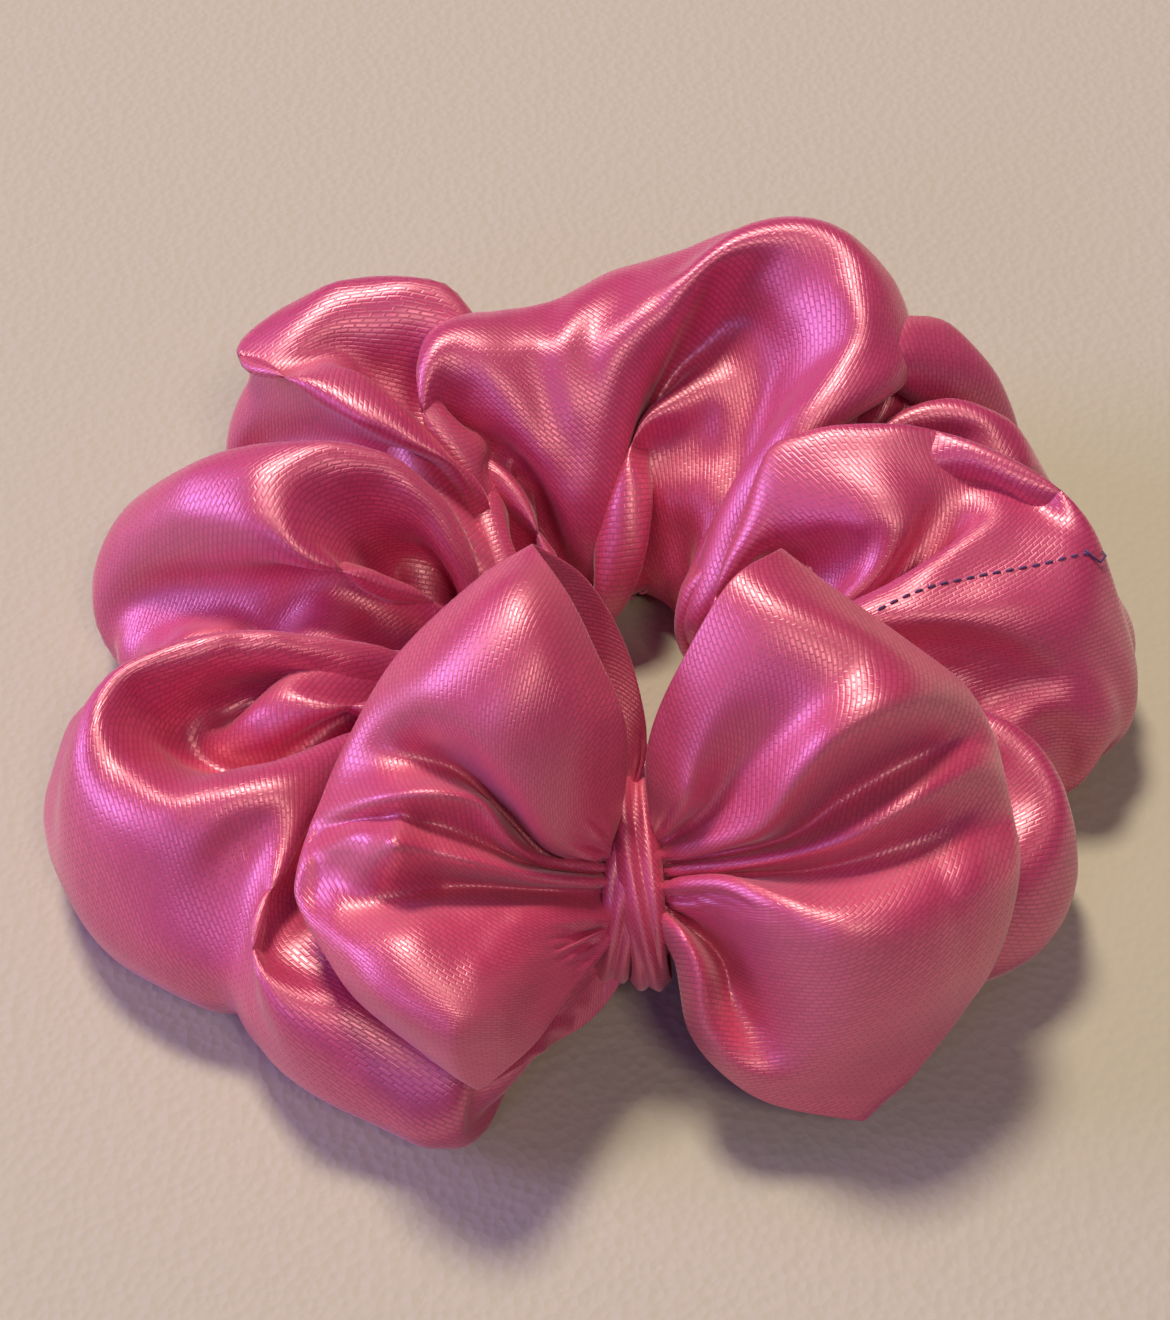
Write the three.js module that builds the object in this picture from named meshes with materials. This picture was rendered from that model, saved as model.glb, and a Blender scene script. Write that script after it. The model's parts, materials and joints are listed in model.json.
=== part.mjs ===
// A satin scrunchie with a satin bow tied to it, in millimetres, +Z up, lying on a table.
// A gathered satin sleeve runs round a ring of elastic. A narrow strip of the same satin
// pinches a flat ribbon bow onto the sleeve at the front. The puffs are plain filled solids.
// The origin is on the table, under the centre of the whole outline.
import * as THREE from "three";

// ---- driving dimensions ----
const CHANNEL = 5.1; // radius of the channel inside the puffs that the elastic runs in
const GAP = 0.3; // clearance between pieces that touch
const THREAD = 0.22; // thread radius
const SAG = 1.2; // how far the table flattens the underside of a puff

// The sleeve's puffs anticlockwise from the bow, seen from above. Each starts at a gather.
// from: degrees round the ring, with +X at 0. outer: reach from the ring's centre. top: height.
const PUFFS = [
  { from: -80, outer: 51, top: 22 },
  { from: -36, outer: 56, top: 28 },
  { from: -8, outer: 60, top: 31 },
  { from: 33, outer: 61, top: 38 },
  { from: 92, outer: 53, top: 33 },
  { from: 128, outer: 55, top: 34 },
  { from: 152, outer: 56, top: 34 },
  { from: 188, outer: 60, top: 31 },
  { from: 232, outer: 47, top: 21.5 },
];
const GATHER = { outer: 5, top: 2, inner: 3 }; // how far the satin is drawn in at a gather
const HOLE_RADIUS = 15.5;
const PUFF_SHAPE = 0.55; // below 1, a puff fills out quickly from its gathers

// Where the strip ties the bow on, the sleeve is squeezed to a thin round neck.
const NECK = { angle: -80, radius: 28.4, height: 13, size: 6.8, hold: 13, reach: 28 };
const ELASTIC = { width: 6, thickness: 1.1, overlap: 14, join: 100 };

const BOW = {
  lean: 40, // degrees that the bow's face leans back from lying flat
  fromNeck: 11, // from the neck's middle to the waist's
  waist: { length: 7, tall: 5, thick: 1.9 }, // length, then half heights
  wingThickness: 3.6,
  wingRise: 17, // degrees that each wing rises off the puffs at its outer end
  stripWidth: 6.4,
  stripThickness: 0.7,
};
// Outlines of the wings in the bow's own plane: across and up from the middle of the waist.
const LEFT_WING = [
  [-4, 5], [-9.5, 29], [-18, 25], [-26, 15], [-31, 4], [-29.5, -7], [-23.5, -14], [-14, -20], [-4, -5],
];
const RIGHT_WING = [
  [4, 5], [11, 29], [21, 25], [30.5, 18], [35.5, 5], [34, -8], [29, -16], [21, -23], [13, -20], [4, -5],
];

const radians = THREE.MathUtils.degToRad;
const satin = new THREE.MeshStandardMaterial({ color: 0xd9558c, roughness: 0.35, metalness: 0 });
const elasticWeave = new THREE.MeshStandardMaterial({ color: 0xf1ece8, roughness: 0.8, metalness: 0 });
const pinkThread = new THREE.MeshStandardMaterial({ color: 0xc2447c, roughness: 0.6, metalness: 0 });
const purpleThread = new THREE.MeshStandardMaterial({ color: 0x4a2a5c, roughness: 0.6, metalness: 0 });

const scrunchie = new THREE.Group();

function addPiece(name, geometry, material) {
  const mesh = new THREE.Mesh(geometry, material);
  mesh.name = name;
  scrunchie.add(mesh);
}

// A point on the ring: degrees round it, distance from its centre, and height.
function ringPoint(angle, radius, height) {
  return new THREE.Vector3(
    radius * Math.cos(radians(angle)),
    radius * Math.sin(radians(angle)),
    height,
  );
}

function sequence(count, make) {
  return Array.from({ length: count }, (_, i) => make(i));
}

// A thread along a smooth curve through points.
function thread(points, stepsPerPoint) {
  const SIDES = 6;
  const centre = new THREE.Vector2();
  const corner = (i) => new THREE.Vector2(THREAD, 0).rotateAround(centre, (2 * Math.PI * i) / SIDES);
  const circle = new THREE.Shape(sequence(SIDES, corner));
  return new THREE.ExtrudeGeometry(circle, {
    steps: points.length * stepsPerPoint,
    extrudePath: new THREE.CatmullRomCurve3(points),
  });
}

// ---- the satin sleeve ----

// The sleeve's cut at an angle: the centre and half sizes of an oval, outwards and up.
function sectionAt(angle) {
  const first = PUFFS[0].from;
  const turned = THREE.MathUtils.euclideanModulo(angle - first, 360) + first;
  const i = PUFFS.findLastIndex((p) => p.from <= turned);
  const puff = PUFFS[i];
  const end = i + 1 < PUFFS.length ? PUFFS[i + 1].from : first + 360;
  const before = PUFFS[(i + PUFFS.length - 1) % PUFFS.length];
  const after = PUFFS[(i + 1) % PUFFS.length];
  const share = (turned - puff.from) / (end - puff.from);

  // A gather lies below the lower of the puffs beside it.
  const neighbour = share < 0.5 ? before : after;
  const full = Math.sin(Math.PI * share) ** PUFF_SHAPE;
  const gathered = (size) => Math.min(puff[size], neighbour[size]) - GATHER[size];
  const outer = THREE.MathUtils.lerp(gathered("outer"), puff.outer, full);
  const top = THREE.MathUtils.lerp(gathered("top"), puff.top, full);
  const inner = HOLE_RADIUS + GATHER.inner * (1 - full);

  const away = Math.abs(THREE.MathUtils.euclideanModulo(angle - NECK.angle + 180, 360) - 180);
  const squeezed = 1 - THREE.MathUtils.smoothstep(away, NECK.hold, NECK.reach);
  const mix = (open, neck) => THREE.MathUtils.lerp(open, neck, squeezed);
  return {
    radius: mix((inner + outer) / 2, NECK.radius),
    height: mix((top - SAG) / 2, NECK.height),
    halfWidth: mix((outer - inner) / 2, NECK.size),
    halfTall: mix((top + SAG) / 2, NECK.size),
  };
}

// A closed loop of points at an angle, round an oval that doesn't go below the table.
function ovalLoop(angle, { radius, height, halfWidth, halfTall }, sides) {
  return sequence(sides, (j) => {
    const turn = (2 * Math.PI * j) / sides;
    const up = height + halfTall * Math.sin(turn);
    return ringPoint(angle, radius + halfWidth * Math.cos(turn), Math.max(up, 0));
  });
}

// A length of sleeve between two angles, with its channel open at both ends.
function sleeve(from, to) {
  const STATIONS = 45;
  const SIDES = 18;
  const channel = { radius: NECK.radius, height: NECK.height, halfWidth: CHANNEL, halfTall: CHANNEL };
  const angles = sequence(STATIONS + 1, (i) => from + ((to - from) * i) / STATIONS);
  const outside = angles.map((angle) => ovalLoop(angle, sectionAt(angle), SIDES));
  const inside = angles.map((angle) => ovalLoop(angle, channel, SIDES));
  const corners = [];
  const addQuad = (a, b, c, d) => corners.push(a, b, c, a, c, d);
  for (let j = 0; j < SIDES; j++) {
    const k = (j + 1) % SIDES;
    for (let i = 0; i < STATIONS; i++) {
      addQuad(outside[i][j], outside[i + 1][j], outside[i + 1][k], outside[i][k]);
      addQuad(inside[i][j], inside[i][k], inside[i + 1][k], inside[i + 1][j]);
    }
    addQuad(outside[0][j], outside[0][k], inside[0][k], inside[0][j]);
    addQuad(outside[STATIONS][j], inside[STATIONS][j], inside[STATIONS][k], outside[STATIONS][k]);
  }
  return new THREE.BufferGeometry().setFromPoints(corners);
}

function buildSleeve() {
  const cut = THREE.MathUtils.radToDeg(GAP / HOLE_RADIUS);
  addPiece("cover_front", sleeve(-180 + cut, -cut), satin);
  addPiece("cover_back", sleeve(cut, 180 - cut), satin);

  // The long seam is sewn inside out, so its thread lies in the channel, on the hole's side.
  const FROM_MIDDLE = 4;
  const seam = (from, to) =>
    sequence(31, (i) => {
      const angle = from + ((to - from) * i) / 30;
      return ringPoint(angle, NECK.radius - FROM_MIDDLE, NECK.height);
    });
  addPiece("seam_thread_front", thread(seam(-176, -4), 1), pinkThread);
  addPiece("seam_thread_back", thread(seam(4, 176), 1), pinkThread);

  // The two ends of the sleeve are closed by hand, with small slanting stitches over the puff.
  const closing = { angle: 9, from: 12, to: 112, stitches: 13, length: 1.6, above: THREAD + GAP };
  const stitches = sequence(closing.stitches * 2 + 1, (i) => {
    const turn = radians(closing.from + ((closing.to - closing.from) * i) / (closing.stitches * 2));
    const side = i % 2 ? 0.5 : -0.5;
    const s = sectionAt(closing.angle);
    const radius = s.radius + (s.halfWidth + closing.above) * Math.cos(turn);
    const aside = THREE.MathUtils.radToDeg((side * closing.length) / radius);
    return ringPoint(closing.angle + aside, radius, s.height + (s.halfTall + closing.above) * Math.sin(turn));
  });
  addPiece("closing_thread", thread(stitches, 1), purpleThread);
}

// ---- the elastic ----

// A flat strip bent into a ring, with one end laid over the other and whipped together.
function buildElastic() {
  const lap = THREE.MathUtils.radToDeg(ELASTIC.overlap / NECK.radius);
  const from = ELASTIC.join - lap / 2;
  const to = ELASTIC.join + 360 + lap / 2;
  const STEPS = 60;
  const inner = NECK.radius - ELASTIC.thickness / 2;
  const layer = ELASTIC.thickness + GAP;
  const edge = (angle, depth) => {
    const over = THREE.MathUtils.smoothstep(angle, to - 2 * lap, to - 1.1 * lap);
    const point = ringPoint(angle, inner + over * layer + depth, 0);
    return new THREE.Vector2(point.x, point.y);
  };
  const angles = sequence(STEPS + 1, (i) => from + ((to - from) * i) / STEPS);
  const outline = new THREE.Shape([
    ...angles.map((angle) => edge(angle, ELASTIC.thickness)),
    ...angles.toReversed().map((angle) => edge(angle, 0)),
  ]);
  const strip = new THREE.ExtrudeGeometry(outline, { depth: ELASTIC.width, bevelEnabled: false });
  strip.translate(0, 0, NECK.height - ELASTIC.width / 2);
  addPiece("elastic_band", strip, elasticWeave);

  const TURNS = 3;
  const CORNERS = 4; // the thread runs square round the strip
  const tall = ELASTIC.width / 2 + THREAD + GAP * 2;
  const deep = ELASTIC.thickness + GAP / 2 + THREAD + GAP * 2;
  const middle = inner + ELASTIC.thickness + GAP / 2;
  const stitches = sequence(TURNS * CORNERS * 2, (i) => {
    const corner = [[1, -1], [1, 0], [1, 1], [0, 1], [-1, 1], [-1, 0], [-1, -1], [0, -1]][i % 8];
    const angle = ELASTIC.join + (i / (TURNS * CORNERS * 2) - 0.5) * lap * 0.5;
    return ringPoint(angle, middle + deep * corner[0], NECK.height + tall * corner[1]);
  });
  addPiece("elastic_join_stitches", thread(stitches, 2), pinkThread);
}

// ---- the bow ----

// Everything in the bow is built in the bow's plane, with its face up, then leant back onto the neck.
function placeBow(geometry) {
  const lean = radians(BOW.lean);
  const centre = ringPoint(NECK.angle, NECK.radius, NECK.height).add(
    new THREE.Vector3(0, -Math.sin(lean), Math.cos(lean)).multiplyScalar(BOW.fromNeck),
  );
  return geometry.rotateX(lean).translate(centre.x, centre.y, centre.z);
}

// A flattened ribbon loop, hinged at the top edge of its root beside the waist.
function wing(outline) {
  const SOFT = 1.2; // rounding of the folded edges
  const side = Math.sign(outline[0][0]);
  const root = side * (BOW.waist.length / 2 + GAP);
  const shape = new THREE.Shape(outline.map(([x, y]) => new THREE.Vector2(x - root - side * SOFT * 0.7, y)));
  const slab = new THREE.ExtrudeGeometry(shape, {
    depth: BOW.wingThickness - 2 * SOFT,
    bevelThickness: SOFT,
    bevelSize: SOFT,
    bevelOffset: -SOFT,
    bevelSegments: 2,
  });
  slab.translate(side * SOFT, 0, SOFT - BOW.wingThickness);
  slab.rotateY(-side * radians(BOW.wingRise));
  return placeBow(slab.translate(root, 0, BOW.waist.thick));
}

function buildBow() {
  const { length, tall, thick } = BOW.waist;
  const oval = (halfTall, halfThick, curve) => curve.absellipse(0, 0, halfTall, halfThick, 0, 2 * Math.PI);
  const across = (shape, depth, curveSegments) =>
    placeBow(
      new THREE.ExtrudeGeometry(shape, { depth, bevelEnabled: false, curveSegments })
        .translate(0, 0, -depth / 2)
        .rotateX(Math.PI / 2)
        .rotateZ(Math.PI / 2),
    );

  addPiece("bow_wing_left", wing(LEFT_WING), satin);
  addPiece("bow_wing_right", wing(RIGHT_WING), satin);
  addPiece("bow_waist", across(oval(tall, thick, new THREE.Shape()), length, 10), satin);

  // Two turns of thread gather the waist under the strip.
  const TURNS = 2;
  const PER_TURN = 16;
  const clear = THREAD + GAP;
  const winding = sequence(TURNS * PER_TURN + 1, (i) => {
    const turn = (2 * Math.PI * i) / PER_TURN;
    const along = (i / (TURNS * PER_TURN) - 0.5) * 2;
    return new THREE.Vector3(along, (tall + clear) * Math.cos(turn), (thick + clear) * Math.sin(turn));
  });
  addPiece("gather_thread", placeBow(thread(winding, 1)), pinkThread);

  // The strip goes round the waist and the neck together.
  const strip = { tall: 10.2, deep: 11.3, middle: -8.2 };
  const outer = oval(strip.tall + BOW.stripThickness, strip.deep + BOW.stripThickness, new THREE.Shape());
  outer.holes.push(oval(strip.tall, strip.deep, new THREE.Path()));
  const bandAlong = { depth: BOW.stripWidth, bevelEnabled: false, curveSegments: 16 };
  const wrap = new THREE.ExtrudeGeometry(outer, bandAlong)
    .translate(0, 0, -BOW.stripWidth / 2)
    .rotateX(Math.PI / 2)
    .rotateZ(Math.PI / 2)
    .translate(0, 0, strip.middle);
  addPiece("centre_wrap", placeBow(wrap), satin);

  // Its end is sewn down underneath, where the sleeve hides it.
  const below = strip.middle - strip.deep - BOW.stripThickness - THREAD - GAP;
  const sewn = sequence(7, (i) => new THREE.Vector3(i % 2 ? 1.2 : -1.2, i * 1.1 - 3.3, below));
  addPiece("wrap_stitches", placeBow(thread(sewn, 2)), pinkThread);
}

buildSleeve();
buildElastic();
buildBow();

const box = new THREE.Box3().setFromObject(scrunchie);
const middle = box.getCenter(new THREE.Vector3());
scrunchie.position.set(-middle.x, -middle.y, -box.min.z);

export default scrunchie;
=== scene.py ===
# A pink satin scrunchie with a satin bow, dressed over its CAD frame.
# The sleeve and the bow's wings are sheets of cloth: each is laid roughly by a few given
# ridges, then relaxed by a small cloth solver until its threads keep their length.
# Cloth is worked out in millimetres from the centre of the ring and placed in metres at the end.
import json
import math

import bpy
import numpy as np
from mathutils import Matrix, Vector
from mathutils.bvhtree import BVHTree


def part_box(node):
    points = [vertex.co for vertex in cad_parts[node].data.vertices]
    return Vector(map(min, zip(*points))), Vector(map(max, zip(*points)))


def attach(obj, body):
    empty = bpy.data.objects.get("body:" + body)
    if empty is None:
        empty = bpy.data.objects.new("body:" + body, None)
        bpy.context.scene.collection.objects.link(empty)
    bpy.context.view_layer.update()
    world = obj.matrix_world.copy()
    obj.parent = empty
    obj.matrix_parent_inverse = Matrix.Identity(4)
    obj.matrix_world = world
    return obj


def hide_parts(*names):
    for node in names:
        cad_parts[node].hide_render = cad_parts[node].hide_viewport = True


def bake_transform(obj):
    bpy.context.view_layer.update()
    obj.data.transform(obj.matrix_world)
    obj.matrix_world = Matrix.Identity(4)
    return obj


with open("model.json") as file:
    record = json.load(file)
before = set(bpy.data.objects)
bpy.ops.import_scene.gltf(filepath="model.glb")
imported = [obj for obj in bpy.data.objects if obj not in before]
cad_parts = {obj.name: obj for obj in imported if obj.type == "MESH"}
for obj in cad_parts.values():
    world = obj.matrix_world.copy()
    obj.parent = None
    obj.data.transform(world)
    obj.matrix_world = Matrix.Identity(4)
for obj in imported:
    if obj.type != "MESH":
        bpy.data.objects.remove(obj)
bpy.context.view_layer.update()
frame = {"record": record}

MM = 0.001
TINY = 1e-9  # keeps a division from being by zero

# ---- where things are, from the frame ----
ELASTIC_LOW, ELASTIC_HIGH = (np.array(corner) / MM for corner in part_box("elastic_band"))
HALF_THICK = 0.5  # half the elastic's thickness
ELASTIC_RADIUS = (ELASTIC_HIGH[0] - ELASTIC_LOW[0]) / 2 - HALF_THICK
RING = np.array(
    [(ELASTIC_LOW[0] + ELASTIC_HIGH[0]) / 2, ELASTIC_LOW[1] + ELASTIC_RADIUS + HALF_THICK, 0.0]
)
ELASTIC_HEIGHT = (ELASTIC_LOW[2] + ELASTIC_HIGH[2]) / 2
JOINTS = {j["name"]: j for j in frame["record"]["behaviour"]["joints"]}
BOW_CENTRE = np.array(JOINTS["bow_swivel"]["pos_m"]) / MM - RING
BOW_OUT = np.array(JOINTS["bow_swivel"]["axis"], float)
BOW_UP = np.array(JOINTS["left_wing_flex"]["axis"], float)
BOW_RIGHT = np.array([1.0, 0.0, 0.0])


def place(points):
    """Ring millimetres to the frame's metres."""
    return (np.asarray(points, float) + RING) * MM


def from_bow(points):
    """Bow millimetres (across, up, out of its face) to ring millimetres."""
    p = np.asarray(points, float)
    return BOW_CENTRE + p[..., :1] * BOW_RIGHT + p[..., 1:2] * BOW_UP + p[..., 2:] * BOW_OUT


def to_bow(points):
    """Ring millimetres to bow millimetres."""
    p = np.asarray(points, float) - BOW_CENTRE
    return np.stack([p @ BOW_RIGHT, p @ BOW_UP, p @ BOW_OUT], -1)


# ---- curves and grids ----
def between(a, b, c, d, t):
    """A point from b to c, by share t, on the smooth curve through a, b, c and d."""
    curve = 2 * b + (c - a) * t + (2 * a - 5 * b + 4 * c - d) * t**2 + (3 * b - a - 3 * c + d) * t**3
    return 0.5 * curve


def spline(points, count, closed=False):
    """Count points evenly spaced along a smooth curve through the given ones."""
    p = np.asarray(points, float)
    if closed:
        p = np.vstack([p[-1:], p, p[:2]])
    else:
        p = np.vstack([2 * p[0] - p[1], p, 2 * p[-1] - p[-2]])
    steps = 8  # to each given point
    t = np.linspace(0, 1, steps, endpoint=False)[:, None]
    runs = []
    for k in range(1, len(p) - 2):
        runs.append(between(*p[k - 1 : k + 3], t))
    curve = np.vstack(runs + [p[-2:-1]])
    far = np.r_[0, np.cumsum(np.linalg.norm(np.diff(curve, axis=0), axis=1))]
    at = np.linspace(0, far[-1], count, endpoint=not closed)
    return np.stack([np.interp(at, far, curve[:, i]) for i in range(p.shape[1])], 1)


def polar(angle, radius, height):
    """A point round the ring: degrees, distance from its centre, and height."""
    turn = math.radians(angle)
    return np.array([radius * math.cos(turn), radius * math.sin(turn), height])


def shifted(grid, du, dv):
    """The grid with each point replaced by its neighbour, du steps along and dv across."""
    return np.roll(np.roll(grid, -du, 0), -dv, 1)


def finer(grid):
    """A closed grid with a point added between each two neighbours."""
    for axis in (0, 1):
        added = (grid + np.roll(grid, -1, axis)) / 2
        both = np.stack([grid, added], axis + 1)
        shape = list(grid.shape)
        shape[axis] *= 2
        grid = both.reshape(shape)
    return grid


# The links that hold cloth together: steps along, steps across, and strength.
LINKS = [
    (1, 0, 0.45), (0, 1, 0.45), (1, 1, 0.15), (1, -1, 0.15),
    (2, 0, 0.25), (0, 2, 0.25), (4, 0, 0.12), (0, 4, 0.12),
]  # fmt: skip
# The links of two and four steps resist bending: they only push, at this share of their length.
BENDING = {2: 0.985, 4: 0.95}
AS_LAID = 0.98  # the share of its laid length that every link keeps at least


def cloth_links(laid, pitch, closed, slack):
    """Each link's steps, its lengths and strengths over the grid, and whether it only pushes."""
    links = []
    for du, dv, stiff in LINKS:
        bend = BENDING.get(max(abs(du), abs(dv)))
        flat = math.hypot(du * pitch[0], dv * pitch[1]) * slack
        was = np.linalg.norm(shifted(laid, du, dv) - laid, axis=2)
        rest = np.maximum(flat, was * AS_LAID) * (bend or 1)
        strength = np.full(laid.shape[:2], stiff)
        if not closed[0] and du > 0:
            strength[-du:] = 0
        if not closed[1] and dv > 0:
            strength[:, -dv:] = 0
        if not closed[1] and dv < 0:
            strength[:, :-dv] = 0
        links.append((du, dv, rest, strength, bend is not None))
    return links


def relax(cloth, laid, pitch, rounds, hold, closed=(True, True), after=None, slack=1.0):
    """Moves a grid of cloth until its threads are as long as they should be.

    Threads are pitch apart along and across, or as far apart as they were laid where that is more.
    Where the cloth was laid too short for its threads it buckles into soft folds, which the links
    of two and four steps keep from creasing sharply. hold ties it to how it was laid, less and less.
    """
    links = cloth_links(laid, pitch, closed, slack)
    cloth = cloth.copy()
    for i in range(rounds):
        cloth += (laid - cloth) * hold * (1 - i / rounds)
        for du, dv, rest, strength, only_push in links:
            step = shifted(cloth, du, dv) - cloth
            length = np.linalg.norm(step, axis=2) + TINY
            error = (length - rest) / length
            if only_push:
                error = np.minimum(error, 0)
            move = step * (error * strength)[..., None]
            cloth += move
            cloth -= shifted(move, -du, -dv)
        if after:
            after(cloth)
    return cloth


# ---- meshes ----
def link_mesh(name, vertices, faces, material, uv=None):
    """A smooth object in the scene. uv has a place for each corner of each face in turn."""
    mesh = bpy.data.meshes.new(name)
    mesh.from_pydata([tuple(v) for v in vertices], [], faces)
    mesh.update()
    mesh.materials.append(material)
    for polygon in mesh.polygons:
        polygon.use_smooth = True
    if uv is not None:
        layer = mesh.uv_layers.new(name="cloth")
        layer.data.foreach_set("uv", np.asarray(uv, float).ravel())
    obj = bpy.data.objects.new(name, mesh)
    bpy.context.scene.collection.objects.link(obj)
    return obj


def grid_mesh(name, grid, pitch, material, closed=(True, True)):
    """A mesh of a grid in ring millimetres, with its UVs in millimetres of flat cloth."""
    nu, nv = grid.shape[:2]
    faces = []
    uv = []
    for i in range(nu if closed[0] else nu - 1):
        for j in range(nv if closed[1] else nv - 1):
            corners = [(i, j), (i + 1, j), (i + 1, j + 1), (i, j + 1)]
            faces.append([(a % nu) * nv + b % nv for a, b in corners])
            uv += [(a * pitch[0], b * pitch[1]) for a, b in corners]
    return link_mesh(name, place(grid.reshape(-1, 3)), faces, material, uv)


def bake_modifiers(obj):
    """Replaces the object's mesh with what its modifiers make of it."""
    evaluated = obj.evaluated_get(bpy.context.evaluated_depsgraph_get())
    made = bpy.data.meshes.new_from_object(evaluated)
    obj.modifiers.clear()
    obj.data = made
    for polygon in made.polygons:
        polygon.use_smooth = True


def thicken(obj, thickness):
    """Gives a sheet its thickness in millimetres, and rounds it."""
    shell = obj.modifiers.new("thickness", "SOLIDIFY")
    shell.thickness = thickness * MM
    shell.offset = 0
    rounder = obj.modifiers.new("rounder", "SUBSURF")
    rounder.levels = 1
    rounder.render_levels = 1
    bake_modifiers(obj)


def tube(name, path, radius, material, sides, closed=False, flat=1.0):
    """A closed tube round a path in ring millimetres. A flat one is wide upwards."""
    path = np.asarray(path, float)
    n = len(path)
    ahead = np.roll(path, -1, 0) - np.roll(path, 1, 0)
    if not closed:
        ahead[0] = path[1] - path[0]
        ahead[-1] = path[-1] - path[-2]
    ahead /= np.linalg.norm(ahead, axis=1, keepdims=True)
    up = np.broadcast_to((0.0, 0.0, 1.0), path.shape)
    side = up - (up * ahead).sum(1, keepdims=True) * ahead
    side /= np.linalg.norm(side, axis=1, keepdims=True) + TINY
    thin = np.cross(ahead, side)
    turns = np.linspace(0, 2 * math.pi, sides, endpoint=False)[:, None]
    ring = side[:, None] * np.cos(turns) * radius + thin[:, None] * np.sin(turns) * radius * flat
    vertices = place((path[:, None] + ring).reshape(-1, 3))
    faces = []
    for i in range(n if closed else n - 1):
        for j in range(sides):
            k = (j + 1) % sides
            m = (i + 1) % n
            faces.append([i * sides + j, i * sides + k, m * sides + k, m * sides + j])
    if not closed:
        faces.append(list(range(sides))[::-1])
        faces.append([(n - 1) * sides + j for j in range(sides)])
    return link_mesh(name, vertices, faces, material)


# ---- materials ----
def new_material(name, colour, roughness):
    material = bpy.data.materials.new(name)
    material.use_nodes = True
    shader = material.node_tree.nodes["Principled BSDF"]
    shader.inputs["Base Color"].default_value = (*colour, 1)
    shader.inputs["Roughness"].default_value = roughness
    return material, shader


class Nodes:
    """Short calls for building a material's nodes."""

    def __init__(self, material):
        self.tree = material.node_tree

    def add(self, kind, **values):
        node = self.tree.nodes.new(kind)
        for key, value in values.items():
            if hasattr(node, key):
                setattr(node, key, value)
            else:
                node.inputs[key.replace("_", " ")].default_value = value
        return node

    def join(self, start, end):
        self.tree.links.new(start, end)


WEAVE_ROW = 0.46  # mm between the satin's slanting rows
WEAVE_FLOAT = 1.05  # mm length of one thread float
WEAVE_SLANT = math.radians(38)
MIX_A, MIX_B, MIXED = 6, 7, 2  # a colour Mix node's two inputs, and its output


def satin(name, colour, deep):
    """Glossy polyester satin: slanting floats of thread that catch the light in rows.

    The weave lies on the piece's UVs, which are millimetres of flat cloth.
    """
    material, shader = new_material(name, colour, 0.36)
    shader.inputs["Metallic"].default_value = 0.2
    shader.inputs["IOR"].default_value = 2.3
    shader.inputs["Anisotropic"].default_value = 0.6
    shader.inputs["Sheen Weight"].default_value = 0.25
    shader.inputs["Sheen Roughness"].default_value = 0.4
    n = Nodes(material)
    uv = n.add("ShaderNodeUVMap", uv_map="cloth")
    turn = n.add("ShaderNodeMapping", Rotation=(0, 0, WEAVE_SLANT))
    n.join(uv.outputs["UV"], turn.inputs["Vector"])
    rows = n.add(
        "ShaderNodeTexBrick", offset=0.5, squash=1.0,
        Color1=(1, 1, 1, 1), Color2=(0.7, 0.7, 0.7, 1), Mortar=(0.35, 0.35, 0.35, 1),
        Scale=1.0, Mortar_Size=0.14, Mortar_Smooth=1.0, Brick_Width=WEAVE_FLOAT, Row_Height=WEAVE_ROW,
    )  # fmt: skip
    n.join(turn.outputs["Vector"], rows.inputs["Vector"])
    slubs = n.add("ShaderNodeTexNoise", Scale=0.35, Detail=3.0)
    stretch = n.add("ShaderNodeMapping", Scale=(0.12, 2.2, 1))
    n.join(turn.outputs["Vector"], stretch.inputs["Vector"])
    n.join(stretch.outputs["Vector"], slubs.inputs["Vector"])

    # The floats are a little smoother than the gaps between them, and the gaps are painted in the deep
    # colour as painted shade, so the floats look lighter.
    slub_height = 0.25
    height = n.add("ShaderNodeMath", operation="MULTIPLY_ADD")
    height.inputs[1].default_value = slub_height
    n.join(slubs.outputs["Fac"], height.inputs[0])
    n.join(rows.outputs["Color"], height.inputs[2])
    # deep is painted shade: it darkens the gaps between the floats.
    gap_shade_mix = n.add("ShaderNodeMix", data_type="RGBA")
    gap_shade_mix.inputs[MIX_A].default_value = (*deep, 1)
    gap_shade_mix.inputs[MIX_B].default_value = (*colour, 1)
    n.join(height.outputs[0], gap_shade_mix.inputs[0])
    n.join(gap_shade_mix.outputs[MIXED], shader.inputs["Base Color"])
    gloss = n.add("ShaderNodeMapRange", From_Min=0.0, From_Max=1.2, To_Min=0.56, To_Max=0.34)
    n.join(height.outputs[0], gloss.inputs["Value"])
    n.join(gloss.outputs["Result"], shader.inputs["Roughness"])
    bump = n.add("ShaderNodeBump", Strength=0.5, Distance=0.07 * MM)
    n.join(height.outputs[0], bump.inputs["Height"])
    n.join(bump.outputs["Normal"], shader.inputs["Normal"])
    tangent = n.add("ShaderNodeTangent", direction_type="UV_MAP", uv_map="cloth")
    n.join(tangent.outputs["Tangent"], shader.inputs["Tangent"])
    return material


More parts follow.
